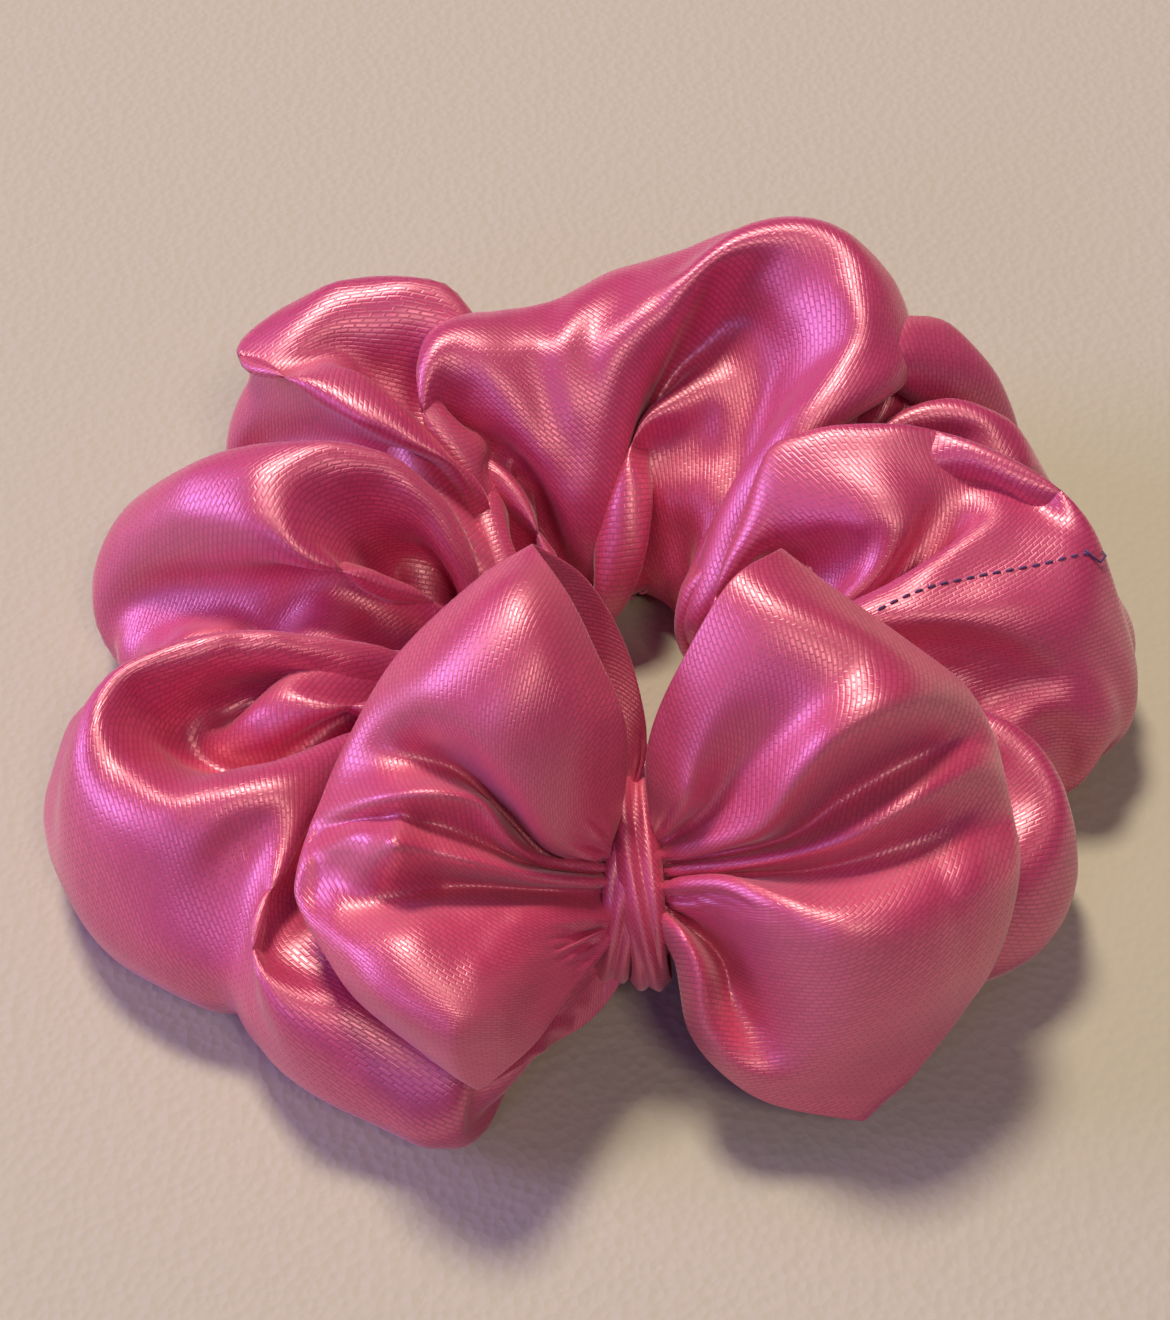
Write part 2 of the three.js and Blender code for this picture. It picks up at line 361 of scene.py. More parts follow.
def thread(name, colour):
    """Plied sewing thread: fine slanting twist."""
    material, shader = new_material(name, colour, 0.55)
    shader.inputs["Sheen Weight"].default_value = 0.3
    n = Nodes(material)
    where = n.add("ShaderNodeTexCoord")
    twist = n.add("ShaderNodeTexWave", bands_direction="DIAGONAL", Scale=1.2 / MM, Distortion=1.5)
    n.join(where.outputs["Object"], twist.inputs["Vector"])
    bump = n.add("ShaderNodeBump", Strength=0.4, Distance=0.04 * MM)
    n.join(twist.outputs["Fac"], bump.inputs["Height"])
    n.join(bump.outputs["Normal"], shader.inputs["Normal"])
    # The twist's grooves are painted darker, as painted shade.
    shade = n.add("ShaderNodeMix", data_type="RGBA")
    shade.inputs[MIX_A].default_value = (*[c * 0.6 for c in colour], 1)
    shade.inputs[MIX_B].default_value = (*colour, 1)
    n.join(twist.outputs["Fac"], shade.inputs[0])
    n.join(shade.outputs[MIXED], shader.inputs["Base Color"])
    return material


def braid(name, colour):
    """Braided elastic: rubber cores under crossing threads."""
    material, shader = new_material(name, colour, 0.75)
    n = Nodes(material)
    where = n.add("ShaderNodeTexCoord")
    ribs = n.add("ShaderNodeTexWave", bands_direction="Z", Scale=0.35 / MM, Distortion=0.6)
    cross = n.add("ShaderNodeTexVoronoi", Scale=1.4 / MM)
    n.join(where.outputs["Object"], ribs.inputs["Vector"])
    n.join(where.outputs["Object"], cross.inputs["Vector"])
    both = n.add("ShaderNodeMath", operation="MULTIPLY")
    n.join(ribs.outputs["Fac"], both.inputs[0])
    n.join(cross.outputs["Distance"], both.inputs[1])
    bump = n.add("ShaderNodeBump", Strength=0.6, Distance=0.2 * MM)
    n.join(both.outputs[0], bump.inputs["Height"])
    n.join(bump.outputs["Normal"], shader.inputs["Normal"])
    return material


# The second colour of each satin is painted shade, for the gaps between its floats.
SLEEVE_SATIN = satin("sleeve_satin", (0.68, 0.065, 0.19), (0.30, 0.005, 0.055))
BOW_SATIN = satin("bow_satin", (0.70, 0.07, 0.18), (0.32, 0.006, 0.055))
PINK_THREAD = thread("pink_thread", (0.55, 0.10, 0.24))
PURPLE_THREAD = thread("purple_thread", (0.10, 0.03, 0.16))
ELASTIC_BRAID = braid("elastic_braid", (0.80, 0.78, 0.76))

# ---- the sleeve ----
# Puffs anticlockwise from the neck, seen from above.
#   start, foot: the angles at which a puff begins, on the outside and beside the hole.
#   reach, hole: how far its outside and its inside are from the ring's centre.
#   ridge: the loop that its crown makes.
#   dip: the middle of the dip inside that loop, or one point for each of the ridge's.
#   lip: its height beside the hole.
#   gather: radius, height and perhaps angle of the gather that it starts from.
#   pinch: how far that gather is drawn in on the outside.
#   bulge: how far out the shoulder is, and rise: how high, at that gather, beside the crown.
#   lag: above 1, its outside turns more slowly at first.
# reach and bulge may be several numbers, from the puff's start to its end.
PUFFS = [
    dict(start=-80, foot=-80, reach=50, lip=9, dip=[(13, -28, 16)],
         ridge=[(10, -30, 18), (14, -36, 19), (20, -34, 19)]),
    dict(start=-52, foot=-55, reach=58, lip=10, dip=[(32, -22, 17)],
         ridge=[(24, -24, 20), (36, -33, 20), (46, -26, 20), (45, -15, 22), (30, -12, 22)]),
    dict(start=-14, foot=-22, reach=60.5, lip=20, hole=22, dip=[(38, 6, 27)],
         ridge=[(32, -6, 23), (43, -4, 25), (51, 3, 26), (50, 11, 27), (45, 16, 28.5), (37, 17, 29.5),
                (28, 18, 30), (20, 18, 30)]),
    dict(start=20, foot=26, reach=58, lip=10, hole=17, gather=(30, 20, 36), dip=[(36, 25, 22)],
         ridge=[(36, 21, 23), (45, 20.5, 24), (51, 20, 23), (50, 25, 25), (44, 27.5, 26), (36, 28, 25)]),
    dict(start=30, foot=34, reach=58, lip=10, hole=16, gather=(42, 20), pinch=5, dip=[(36, 33, 24)],
         ridge=[(45, 30, 24), (45.5, 34, 27), (41.5, 38.5, 30), (37, 41.5, 32), (31, 34, 31)]),
    dict(start=38, foot=40, reach=(57, 58, 56, 46), lip=9, hole=15, gather=(29, 25), pinch=3,
         bulge=(0.8, 0.85, 0.7, 0.2), rise=1.2, lag=1.25,
         ridge=[(21, 18.4, 25), (27, 25.5, 30), (31, 33, 36), (29, 41, 39), (22, 43, 40), (14, 39.5, 38),
                (8, 35, 35.5), (4, 33.6, 34), (-1, 32.5, 32.5), (-7, 31, 31.5), (-13, 30.5, 31.5),
                (-17.5, 32, 32)],
         dip=[(17, 16, 16), (17.5, 21, 18), (18, 29, 21), (18, 35, 27), (15, 37, 27), (11, 35, 22),
              (9.5, 31, 17), (4.5, 26.5, 22), (1, 26.5, 26), (-6, 24.5, 24), (-10, 25, 22),
              (-13.5, 27, 20)]),
    dict(start=116, foot=118, reach=57, lip=10, gather=(30, 18), dip=[(-24, 34, 25)],
         ridge=[(-12, 42, 27), (-16, 44, 31), (-29, 43, 32), (-42, 31, 27), (-29, 25, 30), (-20, 20, 28),
                (-12, 18, 21)]),
    dict(start=146, foot=138, reach=57, lip=8, dip=[(-18, 9, 13)],
         ridge=[(-10, 14, 17), (-17, 15.5, 28), (-26, 15, 31), (-33, 10, 31), (-32, 3, 27), (-23, 1, 22),
                (-16, 4, 18)]),
    dict(start=177, foot=172, reach=61, lip=12, dip=[(-37, -15, 12)],
         ridge=[(-20, -2, 20), (-30, -6, 24), (-41, -7, 25), (-47, -12, 25), (-49, -18, 24), (-42, -26, 25),
                (-35, -28, 25), (-26, -27, 24)]),
    dict(start=228, foot=222, reach=58, lip=9, gather=(44, 20), pinch=4, dip=[(-22, -30, 21)],
         ridge=[(-30, -31, 23), (-34, -37, 20), (-26, -44, 17), (-14, -42, 16), (-4, -32, 17)]),
]  # fmt: skip
# What a puff has where it doesn't say.
PLAIN = dict(hole=13.0, gather=(32.0, 18.0), pinch=9, bulge=0.55, rise=0.9, lag=1)
# The neck's angle and radius, and how many degrees to each side it stays and then opens out.
NECK = dict(angle=-80, size=7.2, hold=6, reach=26)
RIBS_PER_STEP = 4
SLEEVE_LENGTH, SLEEVE_ROUND = 420.0, 103.0  # the flat cloth's length and its distance round
SLEEVE_GRID = (132, 26)
SHOULDER_RISE = 0.9  # how high the shoulders stand beside the crown, away from the gathers


def by_steps(points, count):
    """Points along a smooth curve, count from each given one to the next."""
    p = np.asarray(points, float)
    p = np.vstack([2 * p[0] - p[1], p, 2 * p[-1] - p[-2]])
    runs = []
    for k in range(1, len(p) - 2):
        for t in np.arange(count) / count:
            runs.append(between(*p[k - 1 : k + 3], t))
    return np.array(runs + [p[-2]])


def sleeve_rib(puff, share, crown, hollow, start, foot, reach, hole, bulge, rise):
    """One closed loop of the sleeve, as control points from under its outside edge.

    It goes up the outside, over the crown, through the dip, down beside the hole and back below.
    """
    dip_spread = 0.3  # how far along the puff the dip is at its full depth
    over_elastic = 6.5  # the cloth over the elastic stays this far above its middle
    under = 9  # how far in from its edges the sleeve lies flat on the table
    inside = math.exp(-(((share - 0.5) / dip_spread) ** 4))
    wall = polar(start, reach, crown[2] * 0.42)
    shoulder = crown * (1 - bulge) + polar(start, reach - 2, crown[2] * 0.8) * bulge
    shoulder[2] = crown[2] * rise
    lip = polar(foot, hole + 3, puff["lip"])
    dip = hollow
    if len(puff["dip"]) == 1:
        dip = (crown * 0.3 + lip * 0.7) * (1 - inside) + (hollow * 0.85 + crown * 0.15) * inside
    over = (dip + lip) / 2 - (0, 0, inside)
    beside = np.hypot(over[0], over[1]) - ELASTIC_RADIUS
    over[2] = max(over[2], ELASTIC_HEIGHT + over_elastic - 0.12 * beside**2)
    return [
        polar(start, reach - under, 0),
        polar(start, reach - 1.5, 4.5),
        wall,
        shoulder,
        (shoulder + crown) / 2 + (0, 0, 0.6),
        crown,
        crown * 0.55 + dip * 0.45,
        dip,
        over,
        polar(foot, hole, max(puff["lip"] * 0.6, 4)),
        polar(foot, hole + 3, 1.5),
        polar(foot, hole + under, 0),
        polar((start + foot) / 2, (hole + reach) / 2, 0),
    ]


def along_puff(value, share):
    """A number, or one interpolated between several evenly spaced along a puff."""
    values = np.atleast_1d(value)
    return np.interp(share, np.linspace(0, 1, len(values)), values)


def puff_loops(puff, before, after, turn):
    """A puff's loops, from its gather to the next one. turn is added to the next puff's angles."""
    start = (puff["start"], puff["foot"])
    end = (after["start"] + turn, after["foot"] + turn)
    ends = np.array([start, end], float)
    gathers = []
    for pair, owner in zip(ends, (puff, after)):
        radius, height, *angle = owner["gather"]
        gathers.append(polar(angle[0] if angle else pair.mean(), radius, height))
    crowns = by_steps([gathers[0], *puff["ridge"], gathers[1]], RIBS_PER_STEP)
    ribs = len(crowns) - 1
    hollows = puff["dip"]
    if len(puff["dip"]) == 1:
        crowns = spline(crowns, ribs + 1)
        hollows = puff["dip"] * len(puff["ridge"])
    hollows = by_steps([hollows[0], *hollows, hollows[-1]], RIBS_PER_STEP)
    loops = []
    for i in range(ribs):
        share = i / ribs
        full = math.sin(math.pi * share) ** 0.5
        first_half = share < 0.5
        neighbour, pinch = (before, puff["pinch"]) if first_half else (after, after["pinch"])
        outside = along_puff(puff["reach"], share)
        beside = along_puff(neighbour["reach"], 1 if first_half else 0)
        gathered = min(outside, beside) - pinch
        reach = gathered + (outside - gathered) * full
        bulge = along_puff(puff["bulge"], share)
        rises = (puff["rise"], SHOULDER_RISE, SHOULDER_RISE, after["rise"])
        rise = np.interp(share, (0, 0.3, 0.7, 1), rises)
        start, foot = ends[0] + (ends[1] - ends[0]) * (share ** puff["lag"], share)
        hole = puff["hole"] + (neighbour["hole"] - puff["hole"]) * abs(share - 0.5)
        rib = sleeve_rib(puff, share, crowns[i], hollows[i], start, foot, reach, hole, bulge, rise)
        loops.append(spline(rib, SLEEVE_GRID[1], closed=True))
    return loops


def lay_sleeve():
    """The sleeve before it is relaxed, as a grid: round the ring, then round the tube."""
    puffs = [{**PLAIN, **puff} for puff in PUFFS]
    loops = []
    for k, puff in enumerate(puffs):
        last = k == len(puffs) - 1
        after = puffs[0 if last else k + 1]
        loops += puff_loops(puff, puffs[k - 1], after, 360 if last else 0)
    loops = np.array(loops)

    # The grid's loops are evenly spaced along the sleeve, by the mean distance between the laid ones.
    least = 0.2  # mm, added to each gap so that none is nothing
    gaps = np.linalg.norm(np.roll(loops, -1, 0) - loops, axis=2).mean(1) + least
    far = np.r_[0, np.cumsum(gaps)]
    at = np.linspace(0, far[-1], SLEEVE_GRID[0], endpoint=False)
    k = np.searchsorted(far, at, side="right") - 1
    part = ((at - far[k]) / gaps[k])[:, None, None]
    return loops[k] * (1 - part) + np.roll(loops, -1, 0)[k] * part


def tie_neck(grid):
    """Squeezes the laid sleeve to the neck that the strip ties, and returns how tightly along it."""
    creases, crease_depth = 5, 0.12
    middle = grid.mean(1)
    angles = np.degrees(np.arctan2(middle[:, 1], middle[:, 0]))
    away = np.abs((angles - NECK["angle"] + 180) % 360 - 180)
    tight = 1 - np.clip((away - NECK["hold"]) / (NECK["reach"] - NECK["hold"]), 0, 1)
    tight = tight**2 * (3 - 2 * tight)
    for i in np.nonzero(tight)[0]:
        turn = math.radians(angles[i])
        outward = np.array([math.cos(turn), math.sin(turn)])
        section = np.stack([np.hypot(grid[i, :, 0], grid[i, :, 1]), grid[i, :, 2]], 1)
        spoke = section - section.mean(0)
        creased = 1 + crease_depth * np.cos(creases * np.arctan2(spoke[:, 1], spoke[:, 0]))
        spoke *= (NECK["size"] * creased / np.linalg.norm(spoke, axis=1))[:, None]
        section += ((ELASTIC_RADIUS, ELASTIC_HEIGHT) + spoke - section) * tight[i]
        grid[i] = np.c_[section[:, :1] * outward, section[:, 1]]
    return tight[:, None, None]


def keep_round_elastic(grid):
    """Pushes cloth out of the elastic, and up off the table."""
    clear = 4.8  # mm from the elastic's middle
    table = 0.3  # mm that the cloth's middle lies above the table
    radius = np.hypot(grid[..., 0], grid[..., 1]) + TINY
    spoke = np.stack([radius - ELASTIC_RADIUS, grid[..., 2] - ELASTIC_HEIGHT], -1)
    far = np.linalg.norm(spoke, axis=-1) + TINY
    push = np.maximum(clear / far - 1, 0)
    grid[..., :2] *= (1 + spoke[..., 0] * push / radius)[..., None]
    grid[..., 2] = np.maximum(grid[..., 2] + spoke[..., 1] * push, table)


def hold_neck(laid, tight, grip):
    """What is done to the sleeve after each round of relaxing."""

    def after(grid):
        grid += (laid - grid) * tight * grip
        keep_round_elastic(grid)

    return after


def build_sleeve():
    """The relaxed sleeve as a grid, and its threads' pitch. It is relaxed coarse, then finer."""
    uneven = 0.1  # mm that the cloth is disturbed by, so that it can buckle
    laid = lay_sleeve()
    tight = tie_neck(laid)
    pitch = np.array([SLEEVE_LENGTH / SLEEVE_GRID[0], SLEEVE_ROUND / SLEEVE_GRID[1]])
    unruly = np.random.default_rng(3).normal(0, uneven, laid.shape)
    gripped = hold_neck(laid, tight, grip=0.5)
    cloth = relax(laid + unruly, laid, pitch, rounds=120, hold=0.3, after=gripped)

    cloth = finer(cloth)
    laid = finer(laid)
    tight = finer(tight)[:, :1]
    pitch = pitch / 2
    aim = cloth * 0.6 + laid * 0.4
    gripped = hold_neck(laid, tight, grip=0.3)
    return relax(cloth, aim, pitch, rounds=200, hold=0.12, after=gripped), pitch


sleeve, sleeve_pitch = build_sleeve()

# ---- the bow's two wings ----
# Each wing is a flat loop of wide ribbon, in bow millimetres. A ray runs from the knot out to the
# fold at the wing's outer end, along a ridge or a hollow; rays go from the ribbon's top edge to its
# bottom one. front and back are the loop's two layers, and both end on the same fold.
RIBBON_WIDTH = 70.0
LOOP_LENGTH = 66.0  # out to the fold and back
LEFT_FRONT = [
    [(-1.8, 5.5, 0.8), (-0.8, 11, 2.4), (-1.2, 17, 4), (-3.6, 22.4, 4), (-6.3, 28, 3), (-10.1, 33.6, 0)],
    [(-2.2, 4.2, 1.4), (-5.4, 9.9, 5), (-7, 16.9, 6.5), (-9.8, 23.9, 6), (-13, 28.8, 3.5),
     (-15.4, 30.1, 0)],
    [(-2.4, 2.8, 1), (-8, 4.6, 3.4), (-11.5, 9.6, 5), (-15, 15, 5.6), (-20, 19.6, 4), (-23.6, 22.5, 0)],
    [(-2.5, 2.1, 0.2), (-8.2, 2.9, 0.8), (-12.6, 7, 0.4), (-17.5, 11.6, 0.6), (-23.5, 13.4, 1),
     (-28.9, 13.4, 0)],
    [(-2.6, 1.4, 1), (-9.2, 2.4, 2), (-12.6, 5.2, 3.6), (-15, 8.4, 4), (-19.7, 9.4, 4.4), (-25, 8.8, 3.4),
     (-31.5, 7.3, 0)],
    [(-2.6, 1, 0.2), (-9.5, 1.8, 1.2), (-14, 4, 1.6), (-19, 6.3, 2.2), (-25.3, 6.9, 2.2), (-32.3, 5.2, 0)],
    [(-2.2, 0.2, 1.2), (-9.2, 1.1, 3.2), (-18, 3.3, 4.6), (-25.9, 4.9, 4), (-30.3, 3.3, 2),
     (-33.3, 1.1, 0)],
    [(-2.4, -0.8, 0), (-9, -0.4, 0.6), (-17, 0.2, 0.8), (-24, -0.6, 0.8), (-29, -1.4, 0.6),
     (-33.2, -1.6, 0)],
    [(-2.4, -3, 1), (-11, -2.4, 3), (-19.7, -3.7, 4.6), (-25.9, -5.3, 3.2), (-30.3, -6.1, 0)],
    [(-2.5, -4.2, 0.8), (-9.5, -5.8, 3.2), (-16.5, -9.2, 4.8), (-22, -11, 3.4), (-25.9, -11.2, 0)],
    [(-2.2, -5, 0.4), (-5.3, -8.5, 1.8), (-9.2, -14.2, 2.6), (-12.5, -17.1, 1.6), (-15.2, -19.2, 0)],
]
LEFT_BACK = [
    [(-1, 6, -1), (0.8, 13, -1), (0.4, 19, -1.5), (-1.5, 25, -1.5), (-5, 30.4, -1), (-10.1, 33.6, 0)],
    [(-2, 0, -1), (-12, 2, -2.5), (-24, 3.5, -2), (-33.3, 2, 0)],
    [(-1.6, -5, -1), (-1.6, -9.4, -2), (-4.2, -14, -2), (-9, -16.9, -1.5), (-15.2, -19.2, 0)],
]
RIGHT_FRONT = [
    [(1.8, 5.5, 0.8), (0.9, 11, 2.5), (1.6, 16, 3.6), (4.4, 22.2, 4), (9, 29.8, 3), (14.3, 33.1, 0)],
    [(2, 4.6, 1), (4.4, 8.6, 4.2), (5.5, 13, 4.6), (8.5, 20, 4.8), (14, 27, 4), (18.9, 29.6, 0)],
    [(2.2, 3.6, 0.6), (6, 6.6, 1.8), (10.5, 12, 3.4), (17, 19, 5), (23, 23, 4), (27.5, 23.5, 0)],
    [(2.2, 2.6, 1), (6.6, 3.8, 2.6), (11.8, 5.9, 4.4), (14.9, 10.3, 5.8), (18.9, 14.7, 6.6),
     (25.9, 18.3, 5.6), (33, 19.5, 0)],
    [(2.3, 1.8, 0), (8, 3.2, 1), (15, 5, 1.2), (20.5, 9, 1.4), (29, 13.6, 1.4), (35.9, 15, 0)],
    [(2.3, 1.2, 0.8), (9, 2, 2.2), (17, 4, 3.6), (21.5, 5.9, 4.4), (27.6, 9.5, 4.4), (34, 12, 2),
     (36.9, 11.2, 0)],
    [(2.4, 0.4, 0.2), (9, 0.9, 1.2), (18, 1.6, 1.6), (27, 4.3, 2), (33, 7, 1.4), (38, 6.4, 0)],
    [(2.2, -0.2, 1.2), (8.3, 0.9, 3.4), (13.6, -0.6, 5), (20.6, -2, 6), (29.4, -0.6, 4.6), (38.1, 1.2, 0)],
    [(2.3, -1.2, 0.8), (8, -1.8, 2.6), (13.5, -5, 4.6), (21, -9.5, 5.2), (29, -9.5, 4), (35.5, -9, 0)],
    [(2.3, -2, 0.2), (5.7, -4.4, 0.4), (8.7, -7.5, 0), (10.6, -12, 0.6), (17, -17.6, 2.6),
     (28.5, -19.3, 0)],
    [(2.2, -2.8, 1), (4.6, -4.6, 3), (6.4, -8.5, 3.4), (7.4, -13.5, 3), (12, -19, 2.4), (25.6, -22, 0)],
    [(2, -4, 0.4), (3.9, -7.7, 1), (4.4, -10.3, 1.2), (5.3, -14.7, 1.5), (8.3, -18.6, 1.5),
     (13.6, -22.1, 1.2), (23.4, -24.3, 0)],
]
RIGHT_BACK = [
    [(1.6, 5.5, -1), (2.4, 12, -2), (4, 18, -2.5), (10, 27, -2), (14.3, 33.1, 0)],
    [(2, 0, -1), (14, 2, -3), (27, 4, -2.5), (38, 4, 0)],
    [(1.6, -4, -1), (6, -9, -2.5), (9, -15, -2.5), (15, -20, -2), (23.4, -24.3, 0)],
]  # fmt: skip
WINGS = {"left": (-1, LEFT_FRONT, LEFT_BACK), "right": (1, RIGHT_FRONT, RIGHT_BACK)}
WING_GRID = (85, 81)
FOLD_RADIUS = 1.1  # mm, how round the fold at a wing's outer end is
RELIEF = 1.9  # how much higher than written the ridges stand
EDGE_LIFT = 5.0  # mm that the fold stands above the knot
LAYER_GAP = 0.3  # mm from the middle between the two layers to each
FRONT_SAG = 0.9  # how low the front layer may come, as a share of that height
FIRST_SEED = 5


def spread_rays(rays, shares, nu, nv):
    """A layer of a wing, by a smooth curve across its rays at each step outwards."""
    lines = np.array([spline(ray, nv) for ray in rays])
    u = np.linspace(0, 1, nu)
    k = np.clip(np.searchsorted(shares, u, side="right") - 1, 0, len(rays) - 2)
    t = ((u - shares[k]) / (shares[k + 1] - shares[k]))[:, None, None]
    a = lines[np.maximum(k - 1, 0)]
    b = lines[k]
    c = lines[k + 1]
    d = lines[np.minimum(k + 2, len(rays) - 1)]
    return between(a, b, c, d, t)


def lay_wing(front, back):
    """A wing before it is relaxed, as a grid: across the ribbon from its top edge, then along it.

    Along it goes out from the knot in front, round the fold and back behind.
    """
    nu, nv = WING_GRID
    half = nv // 2 + 1
    fold = np.array([ray[-1] for ray in front], float)
    far = np.r_[0, np.cumsum(np.linalg.norm(np.diff(fold, axis=0), axis=1))]
    out = np.linspace(0, 1, half)
    rounding = FOLD_RADIUS * np.sqrt(1 - out**10)
    near = spread_rays(front, far / far[-1], nu, half)
    lift = EDGE_LIFT * out**2
    near[..., 2] = near[..., 2] * RELIEF + rounding + lift
    rear = spread_rays(back, np.linspace(0, 1, len(back)), nu, half)
    rear += (near[:, -1:] - rear[:, -1:]) * (out**3)[None, :, None]
    rear[..., 2] += lift * (1 - out**3) - rounding
    return np.concatenate([near, rear[:, -2::-1]], 1)


def build_wing(front, back, seed):
    """The relaxed wing as a grid in bow millimetres, and its threads' pitch."""
    nu, nv = WING_GRID
    laid = lay_wing(front, back)
    pitch = (RIBBON_WIDTH / (nu - 1), LOOP_LENGTH / (nv - 1))

    # Both layers stay at the knot, and on their own sides of the middle between them.
    pinned = np.zeros(nv)
    pinned[[0, 1, -1, -2]] = (1, 0.6, 1, 0.6)
    pinned = pinned[None, :, None]
    middle = EDGE_LIFT * (1 - np.abs(np.linspace(-1, 1, nv))) ** 2
    in_front = np.arange(nv) < nv // 2
    lowest_front = (middle + LAYER_GAP)[in_front] * FRONT_SAG
    highest_back = (middle - LAYER_GAP)[~in_front]

    def after(grid):
        grid += (laid - grid) * pinned
        grid[:, in_front, 2] = np.maximum(grid[:, in_front, 2], lowest_front)
        grid[:, ~in_front, 2] = np.minimum(grid[:, ~in_front, 2], highest_back)

    uneven = 0.05  # mm
    unruly = np.random.default_rng(seed).normal(0, uneven, laid.shape)
    open_edges = dict(closed=(False, False), slack=0.5)
    return relax(laid + unruly, laid, pitch, rounds=24, hold=0.4, after=after, **open_edges), pitch


# ---- the wings lying on the sleeve ----
MAP_CELLS = 48
MAP_REACH = 48.0  # mm from the knot to the map's edges
MAP_TOP = 34  # mm above the knot, past which the sleeve isn't under the bow
NOTHING = -40.0  # the height where there is no sleeve


def sleeve_height_map():
    """How far out the sleeve reaches below each spot of the bow's face."""
    fine = to_bow(finer(sleeve).reshape(-1, 3))
    beside = np.abs(fine)
    near = fine[(beside[:, 0] < MAP_REACH) & (beside[:, 1] < MAP_REACH) & (fine[:, 1] < MAP_TOP)]
    spots = np.floor((near[:, :2] + MAP_REACH) / (2 * MAP_REACH) * MAP_CELLS).astype(int)
    heights = np.full((MAP_CELLS, MAP_CELLS), NOTHING)
    np.maximum.at(heights, (spots[:, 0], spots[:, 1]), near[:, 2])
    for _ in range(3):
        around = [np.roll(np.roll(heights, i, 0), j, 1) for i in (-1, 0, 1) for j in (-1, 0, 1)]
        heights = np.maximum(heights, np.mean(around, 0))
    return heights


def over_sleeve(points, clearance):
    """How far each point of the bow must be raised to lie on the sleeve."""
    at = (points[..., :2] + MAP_REACH) / (2 * MAP_REACH) * MAP_CELLS - 0.5
    at = np.clip(at, 0, MAP_CELLS - 1.001)
    cell = at.astype(int)
    i, j = cell[..., 0], cell[..., 1]
    part_i, part_j = (at - cell)[..., 0], (at - cell)[..., 1]
    near = SLEEVE_HEIGHTS[i, j] * (1 - part_j) + SLEEVE_HEIGHTS[i, j + 1] * part_j
    far = SLEEVE_HEIGHTS[i + 1, j] * (1 - part_j) + SLEEVE_HEIGHTS[i + 1, j + 1] * part_j
    return near * (1 - part_i) + far * part_i + clearance


SLEEVE_HEIGHTS = sleeve_height_map()
WING_ROOT = 3.0  # mm from the bow's middle to where a wing starts to rise
WING_RISE = math.tan(math.radians(15))
WING_BEND = 0.012  # how much a wing's rise falls off further out
# How strongly, from how far below the knot, and how much faster further down a wing hangs down.
DROOP, DROOP_FROM, DROOP_POWER = 0.14, 3.0, 1.3
BACK_DEPTH = 2.6  # how far the back layer hangs below the middle of a wing
KNOT_REACH = 10  # mm over which a wing comes off the knot onto the sleeve


def rest_wing(grid):
    """Lays a flat wing over the sleeve: it rises from the knot and drapes over the puffs."""
    away = np.clip(np.abs(grid[..., 0]) - WING_ROOT, 0, None)
    rise = away * WING_RISE - WING_BEND * away**2
    rise = rise - DROOP * np.clip(-grid[..., 1] - DROOP_FROM, 0, None) ** DROOP_POWER
    lying = over_sleeve(grid, BACK_DEPTH)
    raised = grid.copy()
    raised[..., 2] += rise + np.maximum(lying - rise, 0) * np.clip(away / KNOT_REACH, 0, 1)
    return raised


wings = {}
for seed, (name, (_, front, back)) in enumerate(WINGS.items(), FIRST_SEED):
    flat_wing, wing_pitch = build_wing(front, back, seed)
    wings[name] = from_bow(rest_wing(flat_wing))

# ---- the strip round the bow's waist and the sleeve's neck ----
# The strip and the waist are in bow millimetres. Turns of the strip start at the bow's face.
STRIP_WIDTH = 4.8
STRIP_OVAL = dict(tall=10.4, deep=11.6, centre=-8.2)
STRIP_STEPS, STRIP_ACROSS = 320, 15
STRIP_TURNS = 2.08
STRIP_START = math.radians(196)
SECOND_FROM, SECOND_OVER = 0.45, 0.08  # where the second turn starts, in shares of the strip
LIE = -0.9  # how far to the right of the bow's middle the first turn lies
SLANT, SLANT_CHANGE = 1.3, -2.5  # mm that the first turn leans across, and how the second differs
NARROWING = 0.28  # the share of its width that the twist takes from it in one place


def strip_row(share):
    """The points across the strip at a share of its length."""
    turn = 2 * math.pi * STRIP_TURNS * share + STRIP_START
    second = np.clip((share - SECOND_FROM) / SECOND_OVER, 0, 1)
    slant = math.sin(turn) * (SLANT + SLANT_CHANGE * second)
    middle = LIE + 1.5 * second + slant
    swell = 0.75 * second
    narrow = 1 - NARROWING * math.exp(-((math.sin(turn / 2 + 0.4) / 0.35) ** 2))
    row = []
    for side in np.linspace(-1, 1, STRIP_ACROSS):
        crease = 0.3 * math.cos(side * 6.5 + 3.0 * math.sin(turn * 1.5 + second))
        fine = 0.08 * math.cos(side * 17 + 5 * math.sin(turn * 2))
        curl = -1.1 * side**4
        out = swell + (crease + fine) * (1 - side**4) + curl + 0.35
        row.append([
            middle + side * STRIP_WIDTH / 2 * narrow,
            (STRIP_OVAL["tall"] + out) * math.sin(turn),
            STRIP_OVAL["centre"] + (STRIP_OVAL["deep"] + out) * math.cos(turn),
        ])  # fmt: skip
    return row


def build_strip():
    """A grid of the twisted strip: along it for two turns, then across it.

    The second turn lies on the first and crosses it at a slant.
    """
    return from_bow([strip_row(i / (STRIP_STEPS - 1)) for i in range(STRIP_STEPS)])


strip = build_strip()
WAIST = dict(half_length=3.6, half_tall=5.2, half_thick=1.9, centre=-0.2)
WAIST_GRID = (17, 72)
STRIP_PITCH, WAIST_PITCH = (0.5, 0.5), (0.45, 0.5)  # of their threads, in mm
PLEATS, PLEAT_DEPTH = 9, 0.14


